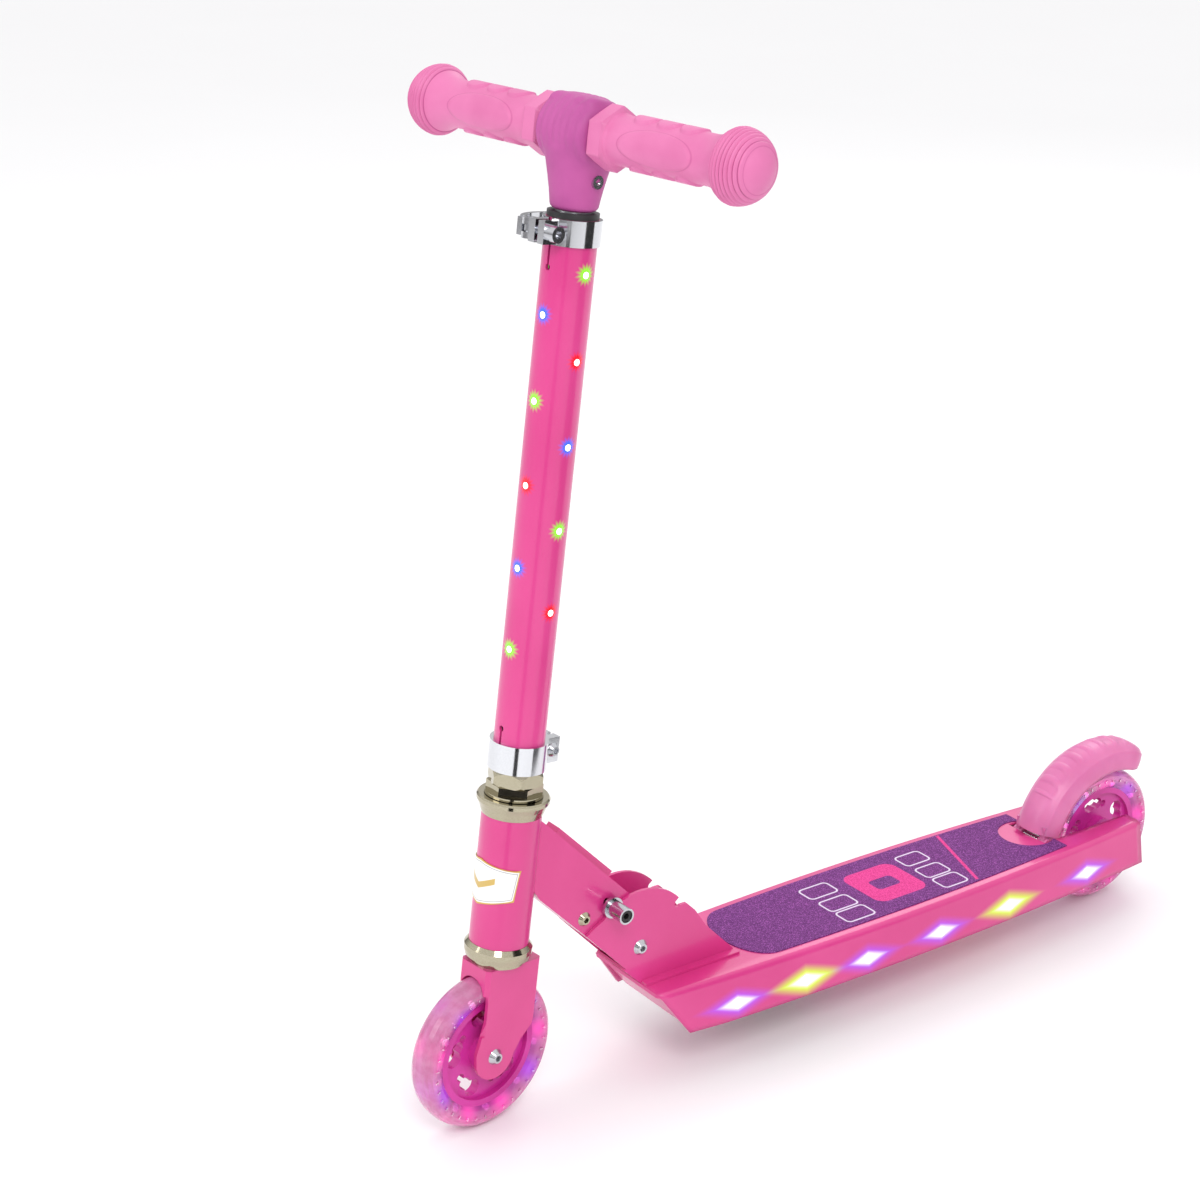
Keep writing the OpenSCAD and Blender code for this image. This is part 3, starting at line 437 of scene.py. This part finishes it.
STRIPE_AT, STRIPE_SLANT, STRIPE_HALF = -0.081, 0.35, 0.0016
across_stripe = abs(tape_x - STRIPE_AT - tape_y * STRIPE_SLANT) - STRIPE_HALF
stripe = inside(across_stripe) * inside(abs(tape_y) - 0.039)
mark = inside(block(0.0, 0.0, 0.027, 0.026, 0.01)) * (1 - inside(block(0.0, 0.0, 0.012, 0.008, 0.004)))
outline = 0.0
for cx, half in ((0.055, 0.0145), (-0.048, 0.013)):
    for cy in (-0.019, 0.006, 0.027):
        outline = inside(abs(block(cx, cy, half, 0.009, 0.004)) - 0.0008) + outline
picture = tape.mix(stripe.most(mark), ground, tape.mix(fleck, (0.66, 0.015, 0.2), (0.95, 0.08, 0.4)))
picture = tape.mix(outline.least(1.0), picture, (0.82, 0.7, 0.88))
tape.set("Base Color", picture)
tape.bump(fleck, 0.0006, 0.8)
print("grip tape print ready")

# %% [markdown]
# The badge on the head tube is white enamel with a gilt border and a thin grey line inside
# it. The borders follow the shield, so they are measured from its own edges.

# %% Badge
BADGE_S, TUBE_R = 0.1365, 0.022
head_ahead = Vector((0, 1, 0)).cross(stem_up).normalized()
enamel = Book("badge_enamel", Coat_Weight=0.6)
bs = enamel.along(stem_up, stem_origin) - BADGE_S
by = enamel.along((0, 1, 0), stem_origin)
arc = abs(by.atan2(enamel.along(head_ahead, stem_origin))) * TUBE_R
roof = 0.0175 - arc * 0.14
foot = -0.0175 + arc * 0.235
edge = (roof - bs).least(bs - foot).least(0.0306 + bs * 0.145 - arc)
gilt = 1 - edge.step(0.0012, 0.0015)
line = edge.step(0.0022, 0.0024) * (1 - edge.step(0.0028, 0.003))
chevron = abs(bs + 0.003 - arc * 0.5) - 0.0024
device = (1 - chevron.step(-0.0002, 0.0002)) * (1 - arc.step(0.0138, 0.0142))
white = enamel.mix(enamel.noise(40.0), (0.86, 0.84, 0.8), (0.93, 0.92, 0.9))
face = enamel.mix(line, white, (0.42, 0.42, 0.45))
face = enamel.mix(device, face, (0.62, 0.42, 0.1))
enamel.set("Base Color", enamel.mix(gilt, face, (0.66, 0.43, 0.1)))
enamel.set("Metallic", gilt * 0.8)
enamel.set("Roughness", 0.25 + 0.1 * enamel.noise(200.0))
print("badge enamel ready")

# %% [markdown]
# Every CAD node takes its finish from one table. The finish goes into the node's own
# material slots, and the mesh itself is left alone. The floor and cards are dressed too.

# %% Dress the CAD nodes
def dress(obj, book):
    obj.data.materials.clear()
    obj.data.materials.append(book.mat)

LOOKS = {
    stem_paint: ["stem_tube"],
    body_paint: ["fold_bracket", "head_tube", "neck_frame", "neck_strip", "fork", "nose_plate"],
    deck_paint: ["deck"],
    nickel: ["lower_cup", "upper_cup", "crown_race", "upper_cone", "locknut", "neck_bolt"],
    aluminium: ["lower_clamp", "top_clamp", "clamp_lever", "t_bar"],
    zinc: ["fold_bolt", "rear_dropouts", "rear_axle", "rear_spacers", "rear_bearing_inner", "fender_pin",
           "fender_spring", "rear_bearing_outer", "lock_pin", "headset_balls", "lower_clamp_bolt",
           "top_skewer", "front_axle", "front_spacers", "front_bearing_inner", "front_bearing_outer",
           "yoke_bolt"],
    black_plastic: ["battery_box", "battery_cover", "lock_insert", "clamp_shim", "top_bush", "light_strips"],
    grip_plastic: ["left_grip", "right_grip"], yoke_plastic: ["yoke"], tape: ["grip_tape"],
    front_tyre_look: ["front_tyre"], rear_tyre_look: ["rear_tyre"],
    hub_plastic: ["front_hub", "rear_hub"], fender_plastic: ["rear_fender"], enamel: ["badge"],
    dark_metal: ["rear_magnet", "front_magnet"],
    lens: ["deck_lights", "rear_lights", "front_lights", "stem_lights"],
}
for book, names in LOOKS.items():
    for name in names:
        dress(cad[name], book)
print("dressed", sum(len(v) for v in LOOKS.values()), "nodes")
floor_look = Book("floor_white", Roughness=0.7)
floor_look.set("Base Color", floor_look.mix(floor_look.noise(2.0), (0.93, 0.93, 0.935), (0.95, 0.95, 0.955)))
dress(floor, floor_look)
card_look = Book("card_black", Roughness=0.9)
card_look.set("Base Color", card_look.mix(card_look.noise(2.0), (0.02, 0.02, 0.02), (0.03, 0.03, 0.03)))
for piece in cards:
    dress(piece, card_look)

# %% [markdown]
# The grips are one soft moulding: a six-sided collar, a round body with three finger bumps
# above and below, and a big end knob with rings. A lathe with a little extra radius at the
# bumps gives all of it as one skin, so nothing has to be joined.

# %% Lathe
def bell(x, width):
    return math.exp(-(x / width) ** 2)

def lathe(name, outline, turns, at, extra=lambda y, a: 0.0):
    """Spins (radius, y) points round the y axis; at() places each point."""
    verts, faces = [], []
    for radius, y in outline:
        for k in range(turns):
            a = 2 * math.pi * k / turns
            rr = radius + (extra(y, a) if radius > 0 else 0.0)
            verts.append(at(Vector((rr * math.cos(a), y, rr * math.sin(a)))))
    rows = len(outline)
    for i in range(rows - 1):
        for k in range(turns):
            b = (k + 1) % turns
            faces.append((i * turns + k, i * turns + b, (i + 1) * turns + b, (i + 1) * turns + k))
    obj = new_object(name, verts, faces)
    work = bmesh.new()
    work.from_mesh(obj.data)
    bmesh.ops.remove_doubles(work, verts=work.verts, dist=0.00001)
    bmesh.ops.dissolve_degenerate(work, edges=work.edges, dist=0.000005)
    bmesh.ops.holes_fill(work, edges=[e for e in work.edges if e.is_boundary])
    bmesh.ops.recalc_face_normals(work, faces=work.faces)
    work.to_mesh(obj.data)
    work.free()
    return obj

print("lathe ready")

# %% [markdown]
# The radius along the grip tells the whole story: collar, palm, flare, rings and dome. Hexagon
# corners and raised ovals are added by angle, and shade is painted darker into every groove.

# %% Grips
BAR_TIP = 0.169
GRIP_FROM, GRIP_TO, GRIP_STEP, GRIP_BORE_R = 0.0262, BAR_TIP - 0.0015, 0.00045, 0.0112
COLLAR_END, FLARE_LONG = 0.0375, 0.022
DOME_Y, DOME_R, GRIP_R = BAR_TIP - 0.025, 0.0235, 0.0165
PAD_Y, PAD_LONG, PAD_TURN = 0.085, 0.034, 0.78
RING_FROM, RING_STEP, RING_COUNT, RING_RISE = -0.0052, 0.0026, 9, 0.0014
COLLAR_R = 0.0217

def grip_radius(y):
    if y < COLLAR_END:
        return COLLAR_R
    d = y - DOME_Y
    if d < -FLARE_LONG:
        return GRIP_R + 0.0012 * max(0.0, 1 - (y - COLLAR_END) / 0.003)
    if d < 0:
        flare = 1 - math.cos(math.pi / 2 * (d + FLARE_LONG) / FLARE_LONG)
        radius = GRIP_R + (DOME_R - GRIP_R) * flare
    else:
        radius = math.sqrt(max(DOME_R ** 2 - d ** 2, 0))
    ring = ((d - RING_FROM) % RING_STEP) / RING_STEP
    if RING_FROM < d < RING_FROM + RING_COUNT * RING_STEP and ring > 0.24:
        radius += RING_RISE * math.sin(math.pi * (ring - 0.24) / 0.76) ** 0.35
    return radius

def pad(along, round_by, half_len, half_turn):
    """A raised oval: 1 on top, falling away at its edge."""
    reach = math.sqrt((along / half_len) ** 2 + (round_by / half_turn) ** 2)
    return 1 - min(max((reach - 0.86) / 0.14, 0.0), 1.0) ** 2 if reach < 1 else 0.0

def grip_extra(y, a):
    if y < COLLAR_END:
        sector = (a + math.pi / 6) % (math.pi / 3) - math.pi / 6
        return COLLAR_R * (math.cos(math.pi / 6) / math.cos(sector) - 1) * 0.9
    rise = 0.0
    for middle in (0.062, 0.083, 0.104):
        for face in (math.pi / 2, 3 * math.pi / 2):
            rise = max(rise, pad(y - middle, a - face, 0.0098, 0.62) * 0.0017)
    return rise + 0.0010 * pad(y - PAD_Y, (a + math.pi) % (2 * math.pi) - math.pi, PAD_LONG, PAD_TURN)

bar_middle = stem_origin + stem_up * BAR_S
gy = abs(grip_plastic.along(stem_left, bar_middle))
gn = grip_plastic.along(stem_ahead, bar_middle)
gs = grip_plastic.along(stem_up, bar_middle)
past = gy - (DOME_Y + RING_FROM)
rings_long = RING_COUNT * RING_STEP
in_rings = past.step(0.0, 0.0003) * (1 - past.step(rings_long, rings_long + 0.0003))
# Painted shade: the ring grooves and the rim round each raised oval are coloured darker, where shade would fall.
ring_groove_shade = (abs(past.wrap(RING_STEP) / RING_STEP - 0.12) / 0.16).fade(1.0) * in_rings
pad_y, pad_a = (gy - PAD_Y) / PAD_LONG, gs.atan2(gn) / PAD_TURN
pad_rim_shade = abs((pad_y * pad_y + pad_a * pad_a).sqrt() - 0.99).fade(0.035)
painted_groove_shade = (ring_groove_shade * 0.95).most(pad_rim_shade * 0.4)
# The dark pink mixed in here is painted shade in the grooves, not a colour of the moulding.
grip_plastic.set("Base Color", grip_plastic.mix(painted_groove_shade, grip_plastic.colour, (0.42, 0.04, 0.19)))

def grip(side, cad_name):
    ys = [GRIP_FROM + i * GRIP_STEP for i in range(int((GRIP_TO - GRIP_FROM) / GRIP_STEP) + 1)]
    outline = [(GRIP_BORE_R, GRIP_FROM)] + [(grip_radius(v), v) for v in ys] + [(0.0, GRIP_TO)]
    at = lambda p: STEM @ Vector((p.x, side * p.y, BAR_S + p.z))
    piece = lathe(cad_name + "_skin", outline, 120, at, grip_extra)
    dress(piece, grip_plastic)
    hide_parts(cad_name)
    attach(piece, "t_bar")
    print(piece.name, len(piece.data.polygons), "faces")

grip(1, "left_grip")
grip(-1, "right_grip")

# %% [markdown]
# The yoke hides the joint of the T under a soft moulding shaped like a fist: a round neck,
# swelling into a barrel with knuckle ridges across the top. Overlapping rounded lumps are
# melted into one skin by a voxel remesh and then smoothed.

# %% Yoke
def lump(book, place, radii, rows=20):
    shape = Matrix.Translation(place) @ Matrix.Diagonal((*radii, 1))
    bmesh.ops.create_uvsphere(book, u_segments=32, v_segments=rows, radius=1.0, matrix=shape)

NECK_LOW = BAR_S - 0.0525
yoke_mesh = bmesh.new()
NECK_LUMPS = 14
for k in range(NECK_LUMPS):
    up_by = k / (NECK_LUMPS - 1)
    wide = 0.0168 + 0.0078 * up_by ** 1.25
    lump(yoke_mesh, (0, 0, NECK_LOW + 0.004 + 0.038 * up_by), (wide, wide * 1.02, 0.0055), rows=12)
for y_at, r in ((-0.0185, 0.0232), (-0.012, 0.0246), (-0.006, 0.0249), (0.0, 0.0250),
                (0.006, 0.0249), (0.012, 0.0246), (0.0185, 0.0232)):
    lump(yoke_mesh, (0, y_at, BAR_S), (r, 0.0085, r))
for y_at in (-0.0165, -0.0055, 0.0055, 0.0165):
    lump(yoke_mesh, (0.006, y_at, BAR_S + 0.0195), (0.009, 0.0060, 0.0048))
yoke_skin = new_object("yoke_skin", [], [])
yoke_mesh.transform(STEM)
yoke_mesh.to_mesh(yoke_skin.data)
yoke_mesh.free()

def apply_modifiers(obj):
    ready = bpy.data.meshes.new_from_object(obj.evaluated_get(bpy.context.evaluated_depsgraph_get()))
    obj.modifiers.clear()
    obj.data = ready
    for p in ready.polygons:
        p.use_smooth = True

melt = yoke_skin.modifiers.new("melt", "REMESH")
melt.mode, melt.voxel_size = "VOXEL", 0.0011
relax = yoke_skin.modifiers.new("relax", "SMOOTH")
relax.factor, relax.iterations = 0.6, 14
apply_modifiers(yoke_skin)
dress(yoke_skin, yoke_plastic)
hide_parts("yoke")
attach(yoke_skin, "t_bar")
print("yoke", len(yoke_skin.data.polygons), "faces")

# %% [markdown]
# The fender is a bent moulding that doubles as the brake. Its cross-section is an arch that
# follows the wheel, with crescent ridges for the heel and a rounded tail. The arch is swept
# by angle, thickened inwards, and its hinge barrel and brake shoe are added beneath.

# %% Fender
FENDER_FROM, FENDER_TO = math.radians(16), math.radians(126)
SIDE_R, CROWN_R, HALF = WHEEL_R + 0.004, WHEEL_R + 0.026, 0.020
ARCH_POWER, RIDGE_TURNS = 2.6, 22.0

def fender_point(turn, cross):
    """turn 0..1 along the arc, cross -1..1 over the arch."""
    a = FENDER_FROM + (FENDER_TO - FENDER_FROM) * turn
    tail = max(0.0, (turn - 0.86) / 0.14)
    half = HALF * math.sqrt(max(1 - tail ** 2.2 * 0.93, 0.03))
    c = abs(cross)
    arch = max(1 - c ** ARCH_POWER, 0) ** (1 / ARCH_POWER)
    radius = SIDE_R + (CROWN_R - SIDE_R) * arch * (1 - 0.12 * tail) + 0.004 * tail * (1 - arch)
    if 0.2 < turn < 0.82:
        ridge = max(0.0, math.sin((turn * RIDGE_TURNS + 0.9 * c * c) * math.pi)) ** 0.6
        radius += 0.0011 * ridge * max(0.0, 1 - (c / 0.62) ** 4)
    radius += 0.0012 * bell(c - 0.86, 0.06)
    return rear_hub_at + Vector((radius * math.cos(a), cross * half, radius * math.sin(a)))

ALONG, ACROSS = 260, 56
def grid_faces(rows, columns):
    """Quads over a grid of points kept row by row."""
    return [(i * columns + k, i * columns + k + 1, (i + 1) * columns + k + 1, (i + 1) * columns + k)
            for i in range(rows - 1) for k in range(columns - 1)]

verts = [fender_point(i / ALONG, math.sin(math.pi / 2 * (2 * k / ACROSS - 1)))
         for i in range(ALONG + 1) for k in range(ACROSS + 1)]
faces = grid_faces(ALONG + 1, ACROSS + 1)
fender = new_object("fender_shell", verts, faces)
outward = fender.data.polygons[len(faces) // 2].normal.dot(Vector((0, 0, 1)))
if outward < 0:
    fender.data.flip_normals()
wall = fender.modifiers.new("wall", "SOLIDIFY")
wall.thickness, wall.offset = 0.0024, -1
apply_modifiers(fender)
hinge = Vector(joints["rear_brake"]["pos_m"])

def bar_shape(book, corner_lo, corner_hi):
    lo, hi = Vector(corner_lo), Vector(corner_hi)
    shape = Matrix.Translation((lo + hi) / 2) @ Matrix.Diagonal((*(hi - lo), 1))
    bmesh.ops.create_cube(book, size=1.0, matrix=shape)

BARREL_Y, BARREL_R, BARREL_LONG = 0.0142, 0.0055, 0.0096
SHOE_R, SHOE_BLOCKS = WHEEL_R + 0.0142, 13
under = bmesh.new()
under.from_mesh(fender.data)
for side in (-1, 1):
    mid = hinge + Vector((0, side * BARREL_Y, 0))
    place = Matrix.Translation(mid) @ Matrix.Rotation(math.pi / 2, 4, "X")
    bmesh.ops.create_cone(under, cap_ends=True, segments=40, radius1=BARREL_R, radius2=BARREL_R,
                          depth=BARREL_LONG, matrix=place)
    bar_shape(under, mid + Vector((-0.0045, -0.0022, 0.001)), mid + Vector((0.0035, 0.0022, 0.016)))
for i in range(SHOE_BLOCKS):
    a = math.radians(52 + i * 4)
    place = (Matrix.Translation(rear_hub_at + Vector((math.cos(a), 0, math.sin(a))) * SHOE_R)
             @ Matrix.Rotation(math.pi / 2 - a, 4, "Y") @ Matrix.Diagonal((0.0062, 0.0075, 0.0194, 1)))
    bmesh.ops.create_cube(under, size=1.0, matrix=place)
under.to_mesh(fender.data)
under.free()
dress(fender, fender_plastic)
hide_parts("rear_fender")
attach(fender, "brake")
print("fender", len(fender.data.polygons), "faces")

# %% [markdown]
# The deck is bent from one sheet: a flat top whose long edges roll over into walls that
# splay a little. The wall's path is swept along the gently bowed plan, each side stopping at
# the rear wheel's opening, and then given the sheet's thickness.

# %% Deck shell
DECK_MID_X, DECK_HALF, DECK_BOW, DECK_LEAN = FRONT_X - 0.373, 0.052, 0.014, 0.0054
DECK_LOW, DECK_REAR = deck_lo[2], deck_lo[0]
FRONT_TOP, FRONT_LOW = FRONT_X - 0.132, FRONT_X - 0.158
SLOT_FROM, SLOT_HALF, ROLL, NOSE_LONG = rear_hub_at.x + 0.082, 0.0215, 0.005, 0.06

def deck_half(x):
    return DECK_HALF - DECK_BOW * ((x - DECK_MID_X) / 0.3) ** 2

def deck_row(x):
    """Points from the middle of the top, over the rolled edge and down the wall."""
    w = deck_half(x)
    inner = SLOT_HALF if x < SLOT_FROM - 0.0001 else 0.0
    row = [(x, inner + (w - ROLL - inner) * f, DECK_TOP) for f in (0.0, 0.25, 0.5, 0.75, 1.0)]
    for k in range(1, 8):
        a = math.pi / 2 * k / 7
        row.append((x, w - ROLL + ROLL * math.sin(a), DECK_TOP - ROLL + ROLL * math.cos(a)))
    for drop in (k / 8 for k in range(1, 9)):
        row.append((x, w + DECK_LEAN * drop, DECK_TOP - ROLL - (DECK_TOP - ROLL - DECK_LOW) * drop))
    return row

def deck_strip(side):
    """One half of the sheet. Near the nose its rows slant, so the wall ends behind the top."""
    stations = [DECK_REAR] + [DECK_REAR + (SLOT_FROM - DECK_REAR) * i / 14 for i in range(1, 14)]
    stations += [SLOT_FROM - 0.0004, SLOT_FROM]
    stations += [SLOT_FROM + (FRONT_TOP - SLOT_FROM) * i / 60 for i in range(1, 61)]
    rows = [deck_row(x) for x in stations]
    verts = []
    for x, y_out, z in (point for row in rows for point in row):
        slant = (FRONT_TOP - FRONT_LOW) * (DECK_TOP - z) / (DECK_TOP - DECK_LOW)
        share = max(0.0, (x - (FRONT_TOP - NOSE_LONG)) / NOSE_LONG)
        verts.append((x - slant * share, side * y_out, z))
    return verts, [f if side < 0 else f[::-1] for f in grid_faces(len(rows), len(rows[0]))]

left_v, left_f = deck_strip(1)
right_v, right_f = deck_strip(-1)
right_f = [tuple(i + len(left_v) for i in f) for f in right_f]
deck_shell = new_object("deck_shell", left_v + right_v, left_f + right_f)
join = bmesh.new()
join.from_mesh(deck_shell.data)
bmesh.ops.remove_doubles(join, verts=join.verts, dist=0.00002)
bmesh.ops.recalc_face_normals(join, faces=join.faces)
top_face = max(join.faces, key=lambda f: f.calc_center_median().z)
if top_face.normal.z < 0:
    bmesh.ops.reverse_faces(join, faces=join.faces)
join.to_mesh(deck_shell.data)
join.free()
sheet = deck_shell.modifiers.new("sheet", "SOLIDIFY")
sheet.thickness, sheet.offset = 0.003, -1
apply_modifiers(deck_shell)
for p in deck_shell.data.polygons:
    p.use_smooth = abs(p.normal.x) < 0.5
ears = bmesh.new()
ears.from_mesh(deck_shell.data)
for side in (-1, 1):
    bar_shape(ears, (hinge.x - 0.006, side * 0.023 - 0.0015, hinge.z - 0.006),
              (hinge.x + 0.006, side * 0.023 + 0.0015, DECK_TOP - 0.002))
ears.to_mesh(deck_shell.data)
ears.free()
dress(deck_shell, deck_paint)
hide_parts("deck")
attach(deck_shell, "deck")
print("deck", len(deck_shell.data.polygons), "faces")

# %% [markdown]
# A ring of small raised dashes runs round each side of the tyres. Geometry Nodes place them:
# points on a circle, one small block on each, turned to face the hub. The tree's sizes are
# named inputs, and each ring builds its own tree and sets them.

# %% Raised dashes on the tyres
def dash_tree(book):
    tree = bpy.data.node_groups.new("tyre_dashes", "GeometryNodeTree")
    tree.interface.new_socket("Geometry", in_out="OUTPUT", socket_type="NodeSocketGeometry")
    ids = {}
    for label, kind in (("Count", "NodeSocketInt"), ("Ring radius", "NodeSocketFloat"),
                        ("Dash size", "NodeSocketVector")):
        ids[label] = tree.interface.new_socket(label, in_out="INPUT", socket_type=kind).identifier
    add = tree.nodes.new
    given, given_out = add("NodeGroupInput"), add("NodeGroupOutput")
    circle, cube, put, real, finish = (add("GeometryNode" + k) for k in
        ("MeshCircle", "MeshCube", "InstanceOnPoints", "RealizeInstances", "SetMaterial"))
    where, align = add("GeometryNodeInputPosition"), add("FunctionNodeAlignRotationToVector")
    align.axis = "X"
    finish.inputs["Material"].default_value = book.mat
    link = tree.links.new
    link(given.outputs["Count"], circle.inputs["Vertices"])
    link(given.outputs["Ring radius"], circle.inputs["Radius"])
    link(given.outputs["Dash size"], cube.inputs["Size"])
    link(circle.outputs["Mesh"], put.inputs["Points"])
    link(cube.outputs["Mesh"], put.inputs["Instance"])
    link(where.outputs[0], align.inputs["Vector"])
    link(align.outputs["Rotation"], put.inputs["Rotation"])
    link(put.outputs["Instances"], real.inputs[0])
    link(real.outputs[0], finish.inputs["Geometry"])
    link(finish.outputs[0], given_out.inputs[0])
    return tree, ids

DASH_COUNT, DASH_SIZE = 36, (0.0026, 0.0016, 0.0008)
DASH_RING_R, DASH_OUT = WHEEL_R - 0.0088, 0.01198

def dashes(name, body, look, centre, left, up, side):
    carrier = new_object(name, [(0, 0, 0)], [])
    tree, ids = dash_tree(look)
    grow = carrier.modifiers.new("dashes", "NODES")
    grow.node_group = tree
    grow[ids["Count"]] = DASH_COUNT
    grow[ids["Ring radius"]] = DASH_RING_R
    grow[ids["Dash size"]] = DASH_SIZE
    apply_modifiers(carrier)
    left, up = Vector(left), Vector(up)
    turn = Matrix((left.cross(up), up, left * side)).transposed().to_4x4()
    carrier.data.transform(Matrix.Translation(centre + left * side * DASH_OUT) @ turn)
    if side < 0:
        carrier.data.flip_normals()
    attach(carrier, body)
    print(name, len(carrier.data.polygons), "faces")

for side in (-1, 1):
    tag = "left" if side > 0 else "right"
    dashes("front_dashes_" + tag, "front_wheel", front_tyre_look, front_hub_at, stem_left, stem_up, side)
    dashes("rear_dashes_" + tag, "rear_wheel", rear_tyre_look, rear_hub_at, (0, 1, 0), (0, 0, 1), side)
